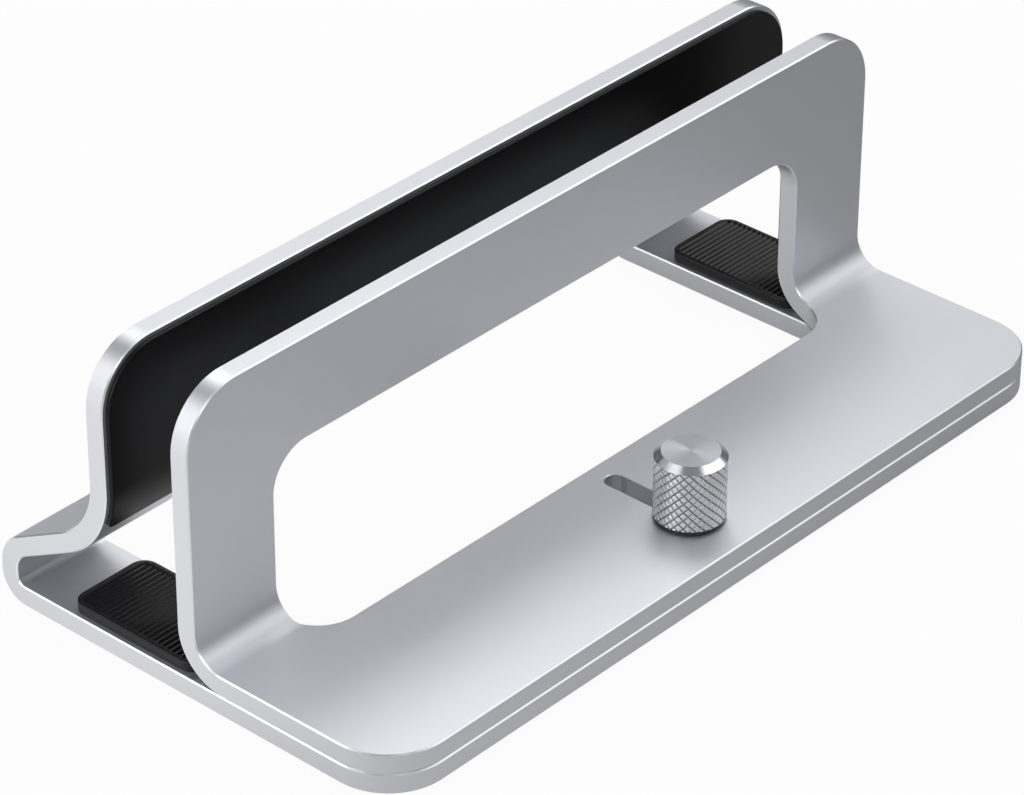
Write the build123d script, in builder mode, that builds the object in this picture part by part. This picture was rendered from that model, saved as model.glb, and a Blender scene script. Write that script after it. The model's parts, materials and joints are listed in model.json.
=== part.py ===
from build123d import *
from math import cos, radians, sin, sqrt
import os

os.makedirs("parts", exist_ok=True)

# Vertical laptop stand: two folded aluminium sheets, one sliding on the other.
# The laptop stands on edge in the gap between the two walls, on ribbed pads.
# X runs along the walls, Y from the front edge to the rear fold, Z up.
# The origin is on the desk, under the middle of the closed stand.

# Overall sizes, in millimetres
stand_length = 180.0
stand_depth = 93.6
wall_height = 60.0
sheet = 4.0
sheet_corner = 12.0
edge_chamfer = 0.25

# Folds of the base sheet: the nose is a tight bend up and a wider one forward
rear_wall_setback = 65.7
nose_lower_radius = 1.75
nose_upper_radius = 4.0
nose_rise = 1.2
incline_angle = 28.0
upper_bend_radius = 15.0

# Fold of the sliding sheet
front_wall_setback = 45.6
front_bend_radius = 6.0

# Window that runs through the folds of both sheets, and the legs left at its ends
leg_width = 20.0
window_setback = 35.6
window_top = 40.0
window_corner = 8.0

# Clamp: the screw stands in the base, the slot is in the sliding sheet
screw_setback = 12.4
jaw_travel = 17.2
screw_radius = 1.95
screw_length = 16.0
screw_head_radius = 3.75
screw_socket_flats = 2.5
screw_socket_depth = 1.2
screw_recess = 0.1
screw_tip_chamfer = 0.4
slot_chamfer = 0.12

# Knob and its washer
knob_radius = 6.63
knob_height = 13.3
knob_rim_width = 1.3
knob_rim_drop = 1.1
knob_foot_chamfer = 0.3
knob_bore_depth = 9.5
washer_radius = 6.3
washer_thickness = 0.6

# Guide screws: they hang from the sliding sheet and run in slots of the base
guide_spacing = 110.0
guide_setback = 26.0
guide_radius = 1.5
guide_depth = 3.0
guide_head_radius = 2.7
guide_head_height = 1.2
guide_shelf = 2.0
guide_socket_flats = 1.5
guide_socket_depth = 0.7

# Silicone pads on the walls
wall_pad_thickness = 0.8
wall_pad_margin = 0.95
wall_pad_bevel = 0.25
rear_pad_wrap = 25.0
front_pad_wrap = 40.0
pad_outer_corner = 1.5
pad_inner_corner = 1.5

# Ribbed silicone pads that the laptop stands on
rest_pad_length = 30.1
rest_pad_height = 2.0
rest_pad_margin = 1.1
rest_pad_corner = 3.0
rest_pad_bevel = 0.25
rest_pad_border = 0.7
rib_pitch = 1.2
rib_groove_width = 0.7
rib_groove_depth = 0.45

# Anti-slip feet under the base
foot_length = 24.0
foot_height = 1.0
foot_margin = 2.0
foot_setback = 6.0
foot_corner = 4.0
foot_bevel = 0.3

# Clearances
face_gap = 0.05
shank_gap = 0.1
head_gap = 0.3
rest_pad_gap = 1.75

# Places that follow from the sizes
front = -stand_depth / 2
base_under = foot_height
base_top = base_under + sheet
plate_under = base_top + face_gap
plate_top = plate_under + sheet
wall_top = base_under + wall_height
half_length = stand_length / 2
window_length = stand_length - 2 * leg_width
half_window = window_length / 2
leg_middle = half_window + leg_width / 2
window_front = front + window_setback
window_roof = base_under + window_top
screw_y = front + screw_setback
guide_y = front + guide_setback
slot_half_width = screw_radius + shank_gap
guide_slot_half_width = guide_radius + shank_gap
guide_recess_half_width = guide_head_radius + head_gap

# The base sheet's outer skin: underside, nose, incline, upper bend, back of the wall
nose_lower_outer = nose_lower_radius + sheet
nose_upper_outer = nose_upper_radius + sheet
nose_lower_y = front + stand_depth - nose_lower_outer
nose_upper_y = front + stand_depth - nose_upper_outer
nose_upper_z = base_under + nose_lower_outer + nose_rise
tilt = radians(incline_angle)
rear_wall_front = front + rear_wall_setback
rear_wall_back = rear_wall_front + sheet
incline_start_y = nose_upper_y + nose_upper_outer * sin(tilt)
incline_end_y = rear_wall_back + upper_bend_radius * (1 - sin(tilt))
incline_length = (incline_start_y - incline_end_y) / cos(tilt)
upper_bend_z = (nose_upper_z + nose_upper_outer * cos(tilt) + incline_length * sin(tilt)
                + upper_bend_radius * cos(tilt))

# The sliding sheet's outer skin: underside, fold, back of the wall
front_wall_front = front + front_wall_setback
front_wall_back = front_wall_front + sheet
front_bend_outer = front_bend_radius + sheet
front_bend_y = front_wall_front - front_bend_radius
front_bend_z = plate_under + front_bend_outer


def hexagon_radius(across_flats):
    """Corner radius of a hexagonal socket from its width across the flats."""
    return across_flats / 2 / cos(radians(30))


# Base frame: one sheet with a tight rear fold, an incline and an upright wall
with BuildPart() as base_frame:
    with BuildSketch(Plane.YZ):
        with BuildLine():
            underside = Line((front, base_under), (nose_lower_y, base_under))
            lower_nose = JernArc(underside @ 1, underside % 1, nose_lower_outer, 90)
            rise = Line(lower_nose @ 1, lower_nose @ 1 + (0, nose_rise))
            upper_nose = JernArc(rise @ 1, rise % 1, nose_upper_outer, 90 - incline_angle)
            incline = Line(upper_nose @ 1, upper_nose @ 1 + (upper_nose % 1) * incline_length)
            upper_bend = JernArc(incline @ 1, incline % 1, upper_bend_radius, incline_angle - 90)
            Line(upper_bend @ 1, (rear_wall_back, wall_top))
            offset(amount=sheet, side=Side.LEFT)
        make_face()
    extrude(amount=half_length, both=True)
    # Rounded corners at the front edge and at the top of the wall
    front_corners = base_frame.edges().filter_by(Axis.Z).group_by(Axis.Y)[0]
    wall_corners = base_frame.edges().filter_by(Axis.Y).group_by(Axis.Z)[-1]
    fillet(front_corners + wall_corners, sheet_corner)
    # Window through the floor and the folds
    with BuildSketch(Plane.XY.offset(base_under)):
        with Locations((0, window_front)):
            floor_window = Rectangle(window_length, stand_depth, align=(Align.CENTER, Align.MIN))
        fillet(floor_window.vertices().group_by(Axis.Y)[0], window_corner)
    extrude(amount=upper_bend_z - base_under - window_corner, mode=Mode.SUBTRACT)
    # Window through the wall, up to its rounded top corners
    with BuildSketch(Plane.XZ.offset(-rear_wall_front + sheet)):
        with Locations((0, window_roof)):
            wall_window = Rectangle(window_length, window_roof - base_top,
                                    align=(Align.CENTER, Align.MAX))
        fillet(wall_window.vertices().group_by(Axis.Y)[-1], window_corner)
    extrude(amount=-stand_depth, mode=Mode.SUBTRACT)
    # Bright-cut edge round both outlines and both windows, on both faces
    side_edges = base_frame.edges().filter_by(Axis.Y).group_by(Axis.Z)
    chamfer(side_edges[0] + side_edges[1], edge_chamfer)
    # Countersunk hole for the clamp screw
    with Locations(Plane(origin=(0, screw_y, base_under), z_dir=(0, 0, -1))):
        CounterSinkHole(screw_radius + face_gap, screw_head_radius + face_gap, depth=sheet)
    # Stepped slots for the guide screws, wide below for their heads
    with BuildSketch(Plane.XY.offset(base_under)):
        with Locations((-guide_spacing / 2, guide_y - jaw_travel / 2),
                       (guide_spacing / 2, guide_y - jaw_travel / 2)):
            SlotCenterToCenter(jaw_travel, 2 * guide_slot_half_width, rotation=90)
    extrude(amount=sheet, mode=Mode.SUBTRACT)
    with BuildSketch(Plane.XY.offset(base_under)):
        with Locations((-guide_spacing / 2, guide_y - jaw_travel / 2),
                       (guide_spacing / 2, guide_y - jaw_travel / 2)):
            SlotCenterToCenter(jaw_travel, 2 * guide_recess_half_width, rotation=90)
    extrude(amount=sheet - guide_shelf, mode=Mode.SUBTRACT)

base_frame.part.label = "base_frame"
export_step(base_frame.part, "parts/base_frame.step")


# Sliding frame: one sheet folded up into the front wall, the movable jaw
with BuildPart() as sliding_frame:
    with BuildSketch(Plane.YZ):
        with BuildLine():
            underside = Line((front, plate_under), (front_bend_y, plate_under))
            bend = JernArc(underside @ 1, underside % 1, front_bend_outer, 90)
            Line(bend @ 1, (front_wall_back, wall_top))
            offset(amount=sheet, side=Side.LEFT)
        make_face()
    extrude(amount=half_length, both=True)
    front_corners = sliding_frame.edges().filter_by(Axis.Z).group_by(Axis.Y)[0]
    wall_corners = sliding_frame.edges().filter_by(Axis.Y).group_by(Axis.Z)[-1]
    fillet(front_corners + wall_corners, sheet_corner)
    # Window through the plate and the fold
    with BuildSketch(Plane.XY.offset(plate_under)):
        with Locations((0, window_front)):
            plate_window = Rectangle(window_length, stand_depth, align=(Align.CENTER, Align.MIN))
        fillet(plate_window.vertices().group_by(Axis.Y)[0], window_corner)
    extrude(amount=front_bend_outer, mode=Mode.SUBTRACT)
    # Window through the wall
    with BuildSketch(Plane.XZ.offset(-front_wall_front + sheet)):
        with Locations((0, window_roof)):
            wall_window = Rectangle(window_length, window_roof - front_bend_z,
                                    align=(Align.CENTER, Align.MAX))
        fillet(wall_window.vertices().group_by(Axis.Y)[-1], window_corner)
    extrude(amount=-stand_depth, mode=Mode.SUBTRACT)
    side_edges = sliding_frame.edges().filter_by(Axis.Y).group_by(Axis.Z)
    chamfer(side_edges[0] + side_edges[1], edge_chamfer)
    # Slot for the clamp screw, which stands at its front end when the jaw is closed
    with BuildSketch(Plane.XY.offset(plate_under)):
        with Locations((0, screw_y + jaw_travel / 2)):
            SlotCenterToCenter(jaw_travel, 2 * slot_half_width, rotation=90)
    extrude(amount=sheet, mode=Mode.SUBTRACT)
    slot_rim = sliding_frame.edges(Select.LAST).group_by(Axis.Z)[-1]
    chamfer(slot_rim, slot_chamfer)
    # Blind holes for the guide screws
    with Locations(Plane(origin=(-guide_spacing / 2, guide_y, plate_under), z_dir=(0, 0, -1)),
                   Plane(origin=(guide_spacing / 2, guide_y, plate_under), z_dir=(0, 0, -1))):
        Hole(guide_radius + face_gap, depth=guide_depth + face_gap)

sliding_frame.part.label = "sliding_frame"
export_step(sliding_frame.part, "parts/sliding_frame.step")


# Rear wall pad: a thin silicone sheet, an upside-down U that wraps the upper bend
rear_pad_half_length = half_length - wall_pad_margin
rear_pad_top = wall_top - wall_pad_margin
with BuildPart() as rear_wall_pad:
    with BuildSketch(Plane.YZ):
        with BuildLine():
            wall_face = Line((rear_wall_front, rear_pad_top), (rear_wall_front, upper_bend_z))
            JernArc(wall_face @ 1, wall_face % 1, upper_bend_radius + sheet, rear_pad_wrap)
            offset(amount=wall_pad_thickness, side=Side.RIGHT)
        make_face()
    extrude(amount=rear_pad_half_length, both=True)
    with BuildSketch(Plane.XZ.offset(-rear_wall_front + sheet)):
        with Locations((0, window_roof + wall_pad_margin)):
            opening = Rectangle(window_length + 2 * wall_pad_margin, window_top,
                                align=(Align.CENTER, Align.MAX))
        fillet(opening.vertices().group_by(Axis.Y)[-1], window_corner + wall_pad_margin)
    extrude(amount=-stand_depth, mode=Mode.SUBTRACT)
    top_corners = rear_wall_pad.edges().filter_by(Axis.Y).group_by(Axis.Z)[-1]
    fillet(top_corners, sheet_corner - wall_pad_margin)
    wrap_end = Axis((0, 0, 0), (0, -cos(radians(rear_pad_wrap)), -sin(radians(rear_pad_wrap))))
    leg_ends = rear_wall_pad.edges().filter_by(wrap_end).sort_by(Axis.X)
    fillet([leg_ends[0], leg_ends[-1]], pad_outer_corner)
    leg_ends = rear_wall_pad.edges().filter_by(wrap_end).sort_by(Axis.X)
    inner_ends = [edge for edge in leg_ends if abs(edge.center().X) < leg_middle]
    fillet(inner_ends, pad_inner_corner)
    # Bevel round the face that meets the laptop
    pad_face = rear_wall_pad.faces().filter_by(Axis.Y).sort_by(Axis.Y)[0]
    chamfer(pad_face.edges().sort_by(Axis.Z)[-1], wall_pad_bevel)

rear_wall_pad.part.label = "rear_wall_pad"
export_step(rear_wall_pad.part, "parts/rear_wall_pad.step")


# Front wall pad: the same sheet of silicone on the back of the sliding wall
with BuildPart() as front_wall_pad:
    with BuildSketch(Plane.YZ):
        with BuildLine():
            wall_face = Line((front_wall_back, rear_pad_top), (front_wall_back, front_bend_z))
            JernArc(wall_face @ 1, wall_face % 1, front_bend_outer, -front_pad_wrap)
            offset(amount=wall_pad_thickness, side=Side.LEFT)
        make_face()
    extrude(amount=rear_pad_half_length, both=True)
    with BuildSketch(Plane.XZ.offset(-front_wall_back + sheet)):
        with Locations((0, window_roof + wall_pad_margin)):
            opening = Rectangle(window_length + 2 * wall_pad_margin, window_top,
                                align=(Align.CENTER, Align.MAX))
        fillet(opening.vertices().group_by(Axis.Y)[-1], window_corner + wall_pad_margin)
    extrude(amount=-stand_depth, mode=Mode.SUBTRACT)
    top_corners = front_wall_pad.edges().filter_by(Axis.Y).group_by(Axis.Z)[-1]
    fillet(top_corners, sheet_corner - wall_pad_margin)
    wrap_end = Axis((0, 0, 0), (0, cos(radians(front_pad_wrap)), -sin(radians(front_pad_wrap))))
    leg_ends = front_wall_pad.edges().filter_by(wrap_end).sort_by(Axis.X)
    fillet([leg_ends[0], leg_ends[-1]], pad_outer_corner)
    leg_ends = front_wall_pad.edges().filter_by(wrap_end).sort_by(Axis.X)
    inner_ends = [edge for edge in leg_ends if abs(edge.center().X) < leg_middle]
    fillet(inner_ends, pad_inner_corner)
    pad_face = front_wall_pad.faces().filter_by(Axis.Y).sort_by(Axis.Y)[-1]
    chamfer(pad_face.edges().sort_by(Axis.Z)[-1], wall_pad_bevel)

front_wall_pad.part.label = "front_wall_pad"
export_step(front_wall_pad.part, "parts/front_wall_pad.step")


# Rest pads: ribbed silicone on the two legs of the base, behind the jaw's fold
bend_depth = front_bend_outer - (base_top + rest_pad_height - plate_under)
bend_reach = sqrt(front_bend_outer**2 - bend_depth**2)
rest_pad_y = front_bend_y + bend_reach + rest_pad_gap + rest_pad_length / 2
rest_pad_width = leg_width - 2 * rest_pad_margin
rib_count = int((rest_pad_length - 2 * rest_pad_border) / rib_pitch)
for side, sign in (("left", -1), ("right", 1)):
    with BuildPart() as rest_pad:
        with BuildSketch(Plane.XY.offset(base_top)):
            with Locations((sign * leg_middle, rest_pad_y)):
                RectangleRounded(rest_pad_width, rest_pad_length, rest_pad_corner)
        extrude(amount=rest_pad_height)
        chamfer(rest_pad.faces().sort_by(Axis.Z)[-1].edges(), rest_pad_bevel)
        # Grooves across the pad leave the ribs standing between them
        with BuildSketch(Plane.YZ.offset(sign * leg_middle)):
            with Locations((rest_pad_y, base_top + rest_pad_height)):
                with GridLocations(rib_pitch, 0, rib_count, 1):
                    Polygon((-rib_groove_width / 2, 0), (0, -rib_groove_depth),
                            (rib_groove_width / 2, 0), align=None)
        extrude(amount=rest_pad_width / 2 - rest_pad_border, both=True, mode=Mode.SUBTRACT)
    rest_pad.part.label = side + "_rest_pad"
    export_step(rest_pad.part, "parts/" + side + "_rest_pad.step")


# Clamp screw: a countersunk screw, its head flush in the base's underside
screw_axis = Axis((0, screw_y, 0), (0, 0, 1))
screw_foot = base_under + screw_recess
with BuildPart() as clamp_screw:
    with BuildSketch(Plane.XZ.offset(-screw_y)):
        with BuildLine():
            Polyline((0, screw_foot), (screw_head_radius - screw_recess, screw_foot),
                     (screw_radius, screw_foot + screw_head_radius - screw_recess - screw_radius),
                     (screw_radius, screw_foot + screw_length), (0, screw_foot + screw_length),
                     close=True)
        make_face()
    revolve(axis=screw_axis)
    chamfer(clamp_screw.edges().group_by(Axis.Z)[-1], screw_tip_chamfer)
    with BuildSketch(Plane.XY.offset(screw_foot)):
        with Locations((0, screw_y)):
            RegularPolygon(hexagon_radius(screw_socket_flats), 6)
    extrude(amount=screw_socket_depth, mode=Mode.SUBTRACT)

clamp_screw.part.label = "clamp_screw"
export_step(clamp_screw.part, "parts/clamp_screw.step")


# Knob washer: thin black plastic, held on the knob's underside
washer_under = plate_top + face_gap
washer_top = washer_under + washer_thickness
with BuildPart() as knob_washer:
    with BuildSketch(Plane.XY.offset(washer_under)):
        with Locations((0, screw_y)):
            Circle(washer_radius)
            Circle(slot_half_width, mode=Mode.SUBTRACT)
    extrude(amount=washer_thickness)

knob_washer.part.label = "knob_washer"
export_step(knob_washer.part, "parts/knob_washer.step")


# Knob: turned from bar, with a polished rim and a blind hole for the screw
knob_under = washer_top + face_gap
knob_top = knob_under + knob_height
with BuildPart() as knob:
    with BuildSketch(Plane.XZ.offset(-screw_y)):
        with BuildLine():
            Polyline((0, knob_under), (knob_radius - knob_foot_chamfer, knob_under),
                     (knob_radius, knob_under + knob_foot_chamfer),
                     (knob_radius, knob_top - knob_rim_drop),
                     (knob_radius - knob_rim_width, knob_top), (0, knob_top), close=True)
        make_face()
    revolve(axis=screw_axis)
    with Locations(Plane(origin=(0, screw_y, knob_under), z_dir=(0, 0, -1))):
        Hole(screw_radius + face_gap, depth=knob_bore_depth)

knob.part.label = "knob"
export_step(knob.part, "parts/knob.step")


# Guide screws: low heads in the base's stepped slots, shanks in the sliding sheet
guide_head_top = base_top - guide_shelf - face_gap
guide_tip = plate_under + guide_depth
for side, guide_x in (("left", -guide_spacing / 2), ("right", guide_spacing / 2)):
    with BuildPart() as guide_screw:
        with BuildSketch(Plane.XY.offset(guide_head_top - guide_head_height)):
            with Locations((guide_x, guide_y)):
                Circle(guide_head_radius)
        extrude(amount=guide_head_height)
        with BuildSketch(Plane.XY.offset(guide_head_top)):
            with Locations((guide_x, guide_y)):
                Circle(guide_radius)
        extrude(amount=guide_tip - guide_head_top)
        with BuildSketch(Plane.XY.offset(guide_head_top - guide_head_height)):
            with Locations((guide_x, guide_y)):
                RegularPolygon(hexagon_radius(guide_socket_flats), 6)
        extrude(amount=guide_socket_depth, mode=Mode.SUBTRACT)
    guide_screw.part.label = side + "_guide_screw"
    export_step(guide_screw.part, "parts/" + side + "_guide_screw.step")


# Feet: soft pads under the four ends of the two legs
foot_width = leg_width - 2 * foot_margin
front_foot_y = front + foot_setback + foot_length / 2
rear_foot_y = nose_lower_y - foot_margin - foot_length / 2
for end, foot_y in (("front", front_foot_y), ("rear", rear_foot_y)):
    for side, sign in (("left", -1), ("right", 1)):
        with BuildPart() as foot:
            with BuildSketch(Plane.XY):
                with Locations((sign * leg_middle, foot_y)):
                    RectangleRounded(foot_width, foot_length, foot_corner)
            extrude(amount=foot_height)
            chamfer(foot.faces().sort_by(Axis.Z)[0].edges(), foot_bevel)
        foot.part.label = end + "_" + side + "_foot"
        export_step(foot.part, "parts/" + end + "_" + side + "_foot.step")
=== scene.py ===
# %% [markdown]
# # A vertical laptop stand
#
# The real stand is two sheets of blasted and anodised aluminium. The rear sheet is
# the base: it folds over at the back and comes forward and up into the rear wall.
# The front sheet slides on it and is clamped by a small knurled knob.
# The frame below is the CAD model. It fixes every size and place, and this script
# only dresses it: each new piece rides on one of its bodies.

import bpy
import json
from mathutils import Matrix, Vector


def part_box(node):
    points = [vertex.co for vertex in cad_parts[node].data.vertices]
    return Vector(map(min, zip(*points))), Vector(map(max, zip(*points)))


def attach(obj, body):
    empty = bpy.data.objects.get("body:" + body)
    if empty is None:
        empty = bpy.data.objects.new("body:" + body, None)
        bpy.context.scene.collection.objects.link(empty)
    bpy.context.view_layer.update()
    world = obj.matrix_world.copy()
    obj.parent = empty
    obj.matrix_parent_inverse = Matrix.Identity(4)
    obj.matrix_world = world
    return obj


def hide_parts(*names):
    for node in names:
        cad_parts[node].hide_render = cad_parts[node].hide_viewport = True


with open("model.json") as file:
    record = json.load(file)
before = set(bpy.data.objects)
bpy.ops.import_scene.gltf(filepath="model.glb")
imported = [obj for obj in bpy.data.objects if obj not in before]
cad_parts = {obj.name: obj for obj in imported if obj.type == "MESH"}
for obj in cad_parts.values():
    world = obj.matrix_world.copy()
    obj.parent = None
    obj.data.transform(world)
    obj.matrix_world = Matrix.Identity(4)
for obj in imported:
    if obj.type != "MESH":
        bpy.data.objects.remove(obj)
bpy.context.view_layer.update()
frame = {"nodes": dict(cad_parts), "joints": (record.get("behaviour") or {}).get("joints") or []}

# %% [markdown]
# Blender counts in metres, and a stand is thought of in millimetres. One name for
# the millimetre keeps both easy to read: 4 * MM is a sheet of 4 mm. The meshes are
# built with bmesh, which holds points, edges and faces that code can change.

# %% Tools and units
import json
import math

import bmesh
import bpy
from mathutils import Quaternion, Vector

MM = 0.001
print("one millimetre is", MM, "metres")

# %% [markdown]
# ## The camera
#
# A product photograph is taken from far away with a long lens, so that parallel
# edges stay nearly parallel. A wide lens close by would make the near corner swell.
# The place and the lens were worked out from the straight edges of the real stand.

# %% Camera
CAMERA_PLACE = Vector((-520.97, -457.83, 459.94)) * MM
CAMERA_HEADING = math.radians(48.214)
CAMERA_DOWN = math.radians(32.429)
CAMERA_ROLL = math.radians(0.182)
CAMERA_LENS = 160.53

look = Vector((
    math.cos(CAMERA_DOWN) * math.sin(CAMERA_HEADING),
    math.cos(CAMERA_DOWN) * math.cos(CAMERA_HEADING),
    -math.sin(CAMERA_DOWN),
))
camera_data = bpy.data.cameras.new("camera")
camera_data.lens = CAMERA_LENS
camera = bpy.data.objects.new("camera", camera_data)
bpy.context.scene.collection.objects.link(camera)
camera.rotation_mode = "QUATERNION"
camera.rotation_quaternion = look.to_track_quat("-Z", "Y") @ Quaternion((0, 0, 1), CAMERA_ROLL)
camera.location = CAMERA_PLACE
bpy.context.scene.camera = camera
bpy.context.scene.view_settings.view_transform = "Standard"
print("camera looks along", [round(v, 3) for v in look])

# %% [markdown]
# ## Nodes from code
#
# Materials are trees of nodes, and a tree can be drawn by hand or written in code.
# Code can be read, repeated and changed with one number, so it is used here. Three
# helpers keep it short: one adds a node, one makes an empty group, one does a sum.

# %% Node helpers


def add_node(tree, kind, **settings):
    """Adds a node and sets its properties by name."""
    node = tree.nodes.new(kind)
    for name, value in settings.items():
        setattr(node, name, value)
    return node


def new_group(name, inputs, outputs):
    """An empty shader node group with named number inputs and outputs."""
    group = bpy.data.node_groups.new(name, "ShaderNodeTree")
    for label, default in inputs:
        socket = group.interface.new_socket(label, in_out="INPUT", socket_type="NodeSocketFloat")
        socket.default_value = default
    for label in outputs:
        group.interface.new_socket(label, in_out="OUTPUT", socket_type="NodeSocketFloat")
    return group, add_node(group, "NodeGroupInput"), add_node(group, "NodeGroupOutput")


def math_node(tree, operation, first, second):
    """One Math node. Either value may be a socket or a plain number."""
    node = add_node(tree, "ShaderNodeMath", operation=operation)
    for index, value in enumerate((first, second)):
        if isinstance(value, (int, float)):
            node.inputs[index].default_value = value
        else:
            tree.links.new(value, node.inputs[index])
    return node.outputs[0]


print("helpers", add_node.__name__, new_group.__name__, math_node.__name__)

# %% [markdown]
# ## Grain for every surface
#
# A blasted sheet is covered in tiny dimples, silicone has a faint orange-peel
# skin, and turned metal has fine scratches. A picture could hold them, but it would
# blur when the camera comes near. Noise worked out in the shader stays sharp, and
# one node group with named inputs serves every material that needs a grain.
# Fine grains give the height of the dimples, broad clouds vary the colour, and both
# together vary the roughness.

# %% Grain group
grain_group, grain_in, grain_out = new_group(
    "surface grain",
    [("Grains Per Metre", 4000), ("Cloud Size", 30), ("Roughness", 0.4), ("Roughness Spread", 0.1)],
    ["Height", "Roughness", "Cloud"],
)
place = add_node(grain_group, "ShaderNodeTexCoord").outputs["Object"]
grains = add_node(grain_group, "ShaderNodeTexNoise")
grains.inputs["Detail"].default_value = 3
grains.inputs["Roughness"].default_value = 0.6
clouds = add_node(grain_group, "ShaderNodeTexNoise")
clouds.inputs["Detail"].default_value = 2
grain_links = grain_group.links
grain_links.new(place, grains.inputs["Vector"])
grain_links.new(place, clouds.inputs["Vector"])
grain_links.new(grain_in.outputs["Grains Per Metre"], grains.inputs["Scale"])
grain_links.new(grain_in.outputs["Cloud Size"], clouds.inputs["Scale"])
mixed = math_node(grain_group, "ADD", grains.outputs["Fac"], clouds.outputs["Fac"])
centred = math_node(grain_group, "SUBTRACT", mixed, 1.0)
spread = math_node(grain_group, "MULTIPLY", centred, grain_in.outputs["Roughness Spread"])
rough = math_node(grain_group, "ADD", spread, grain_in.outputs["Roughness"])
grain_links.new(grains.outputs["Fac"], grain_out.inputs["Height"])
grain_links.new(rough, grain_out.inputs["Roughness"])
grain_links.new(clouds.outputs["Fac"], grain_out.inputs["Cloud"])
print("group", grain_group.name, "has", len(grain_group.nodes), "nodes")

# %% [markdown]
# ## Turned rings
#
# A lathe leaves rings round the axis of what it turns. They are too fine to see
# one by one, but they break up the reflection. Modelling them would take far too
# many faces. The group measures the distance from an upright axis and lets a noise
# run along it, so that the height is the same all the way round.

# %% Ring group
ring_group, ring_in, ring_out = new_group(
    "turned rings",
    [("Axis X", 0), ("Axis Y", 0), ("Rings Per Metre", 8000)],
    ["Height"],
)
ring_place = add_node(ring_group, "ShaderNodeSeparateXYZ")
ring_links = ring_group.links
ring_links.new(add_node(ring_group, "ShaderNodeTexCoord").outputs["Object"], ring_place.inputs[0])
from_axis_x = math_node(ring_group, "SUBTRACT", ring_place.outputs["X"], ring_in.outputs["Axis X"])
from_axis_y = math_node(ring_group, "SUBTRACT", ring_place.outputs["Y"], ring_in.outputs["Axis Y"])
square_x = math_node(ring_group, "MULTIPLY", from_axis_x, from_axis_x)
square_y = math_node(ring_group, "MULTIPLY", from_axis_y, from_axis_y)
radius = math_node(ring_group, "SQRT", math_node(ring_group, "ADD", square_x, square_y), 0)
turns = math_node(ring_group, "MULTIPLY", radius, ring_in.outputs["Rings Per Metre"])
ring_noise = add_node(ring_group, "ShaderNodeTexNoise", noise_dimensions="1D")
ring_noise.inputs["Scale"].default_value = 1
ring_noise.inputs["Detail"].default_value = 2
ring_links.new(turns, ring_noise.inputs["W"])
ring_links.new(ring_noise.outputs["Fac"], ring_out.inputs["Height"])
print("group", ring_group.name, "has", len(ring_group.nodes), "nodes")

# %% [markdown]
# ## Metals
#
# Anodised aluminium is bare metal under a clear skin, so it has no diffuse colour:
# Metallic is 1 and the base colour is the colour of its reflections. Its finishes
# differ in how broad the reflection is. Blasting makes it broad on the faces, the
# milling cutter leaves the edges of the sheet a little smoother, and the thin line
# that a diamond tool cuts along their corners is the sharpest and the palest.

# %% Metal materials


def new_material(name):
    """A material with a Principled shader, and its node tree and shader."""
    material = bpy.data.materials.new(name)
    material.use_nodes = True
    tree = material.node_tree
    return material, tree, tree.nodes["Principled BSDF"]


def place_grain(tree, shader, grains, cloud, roughness, spread, dimple):
    """Feeds a shader's roughness and normal from the grain group."""
    grain = add_node(tree, "ShaderNodeGroup", node_tree=grain_group)
    grain.inputs["Grains Per Metre"].default_value = grains
    grain.inputs["Cloud Size"].default_value = cloud
    grain.inputs["Roughness"].default_value = roughness
    grain.inputs["Roughness Spread"].default_value = spread
    tree.links.new(grain.outputs["Roughness"], shader.inputs["Roughness"])
    bump = add_node(tree, "ShaderNodeBump")
    bump.inputs["Strength"].default_value = 1
    bump.inputs["Distance"].default_value = dimple
    tree.links.new(grain.outputs["Height"], bump.inputs["Height"])
    tree.links.new(bump.outputs["Normal"], shader.inputs["Normal"])
    return grain.outputs["Cloud"], bump


def tint(tree, shader, mask, low, high):
    """Lets a mask run the base colour between two colours."""
    ramp = add_node(tree, "ShaderNodeMix", data_type="RGBA")
    ramp.inputs["A"].default_value = (*low, 1)
    ramp.inputs["B"].default_value = (*high, 1)
    tree.links.new(mask, ramp.inputs["Factor"])
    tree.links.new(ramp.outputs["Result"], shader.inputs["Base Color"])


def make_metal(name, low, high, **grain_values):
    """A bare metal whose reflections vary between two colours. Returns its last bump too."""
    material, tree, shader = new_material(name)
    shader.inputs["Metallic"].default_value = 1
    cloud_mask, bump = place_grain(tree, shader, **grain_values)
    tint(tree, shader, cloud_mask, low, high)
    return material, bump


blasted, _ = make_metal(
    "blasted_aluminium", low=(0.67, 0.68, 0.71), high=(0.72, 0.73, 0.76),
    grains=5200, cloud=25, roughness=0.50, spread=0.08, dimple=0.012 * MM,
)
milled, _ = make_metal(
    "milled_edge", low=(0.67, 0.68, 0.71), high=(0.72, 0.73, 0.76),
    grains=3000, cloud=40, roughness=0.40, spread=0.06, dimple=0.004 * MM,
)
bright_cut, _ = make_metal(
    "bright_cut_edge", low=(0.80, 0.81, 0.83), high=(0.86, 0.87, 0.89),
    grains=1500, cloud=60, roughness=0.32, spread=0.04, dimple=0.0005 * MM,
)
print("metals", blasted.name, milled.name, bright_cut.name)

# %% [markdown]
# ## Silicone and rubber
#
# The pads are black silicone. Black rubber is never quite black: it shows a soft
# grey haze where light meets it. A lighter colour would make it look dusty, so the
# haze comes from the reflection: the roughness says how soft it is, and Specular
# IOR Level how strong. The ribbed pads are a little glossier than the smooth ones,
# so that each rib catches its own line of light.

# %% Silicone and rubber materials


def make_rubber(name, low, high, roughness, dimple, sheen=0.5):
    """A matt black rubber with a faint skin texture. sheen is how strongly it reflects."""
    material, tree, shader = new_material(name)
    shader.inputs["Specular IOR Level"].default_value = sheen
    cloud_mask, _ = place_grain(
        tree, shader, grains=2600, cloud=45, roughness=roughness, spread=0.08, dimple=dimple,
    )
    tint(tree, shader, cloud_mask, low, high)
    return material


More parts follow.
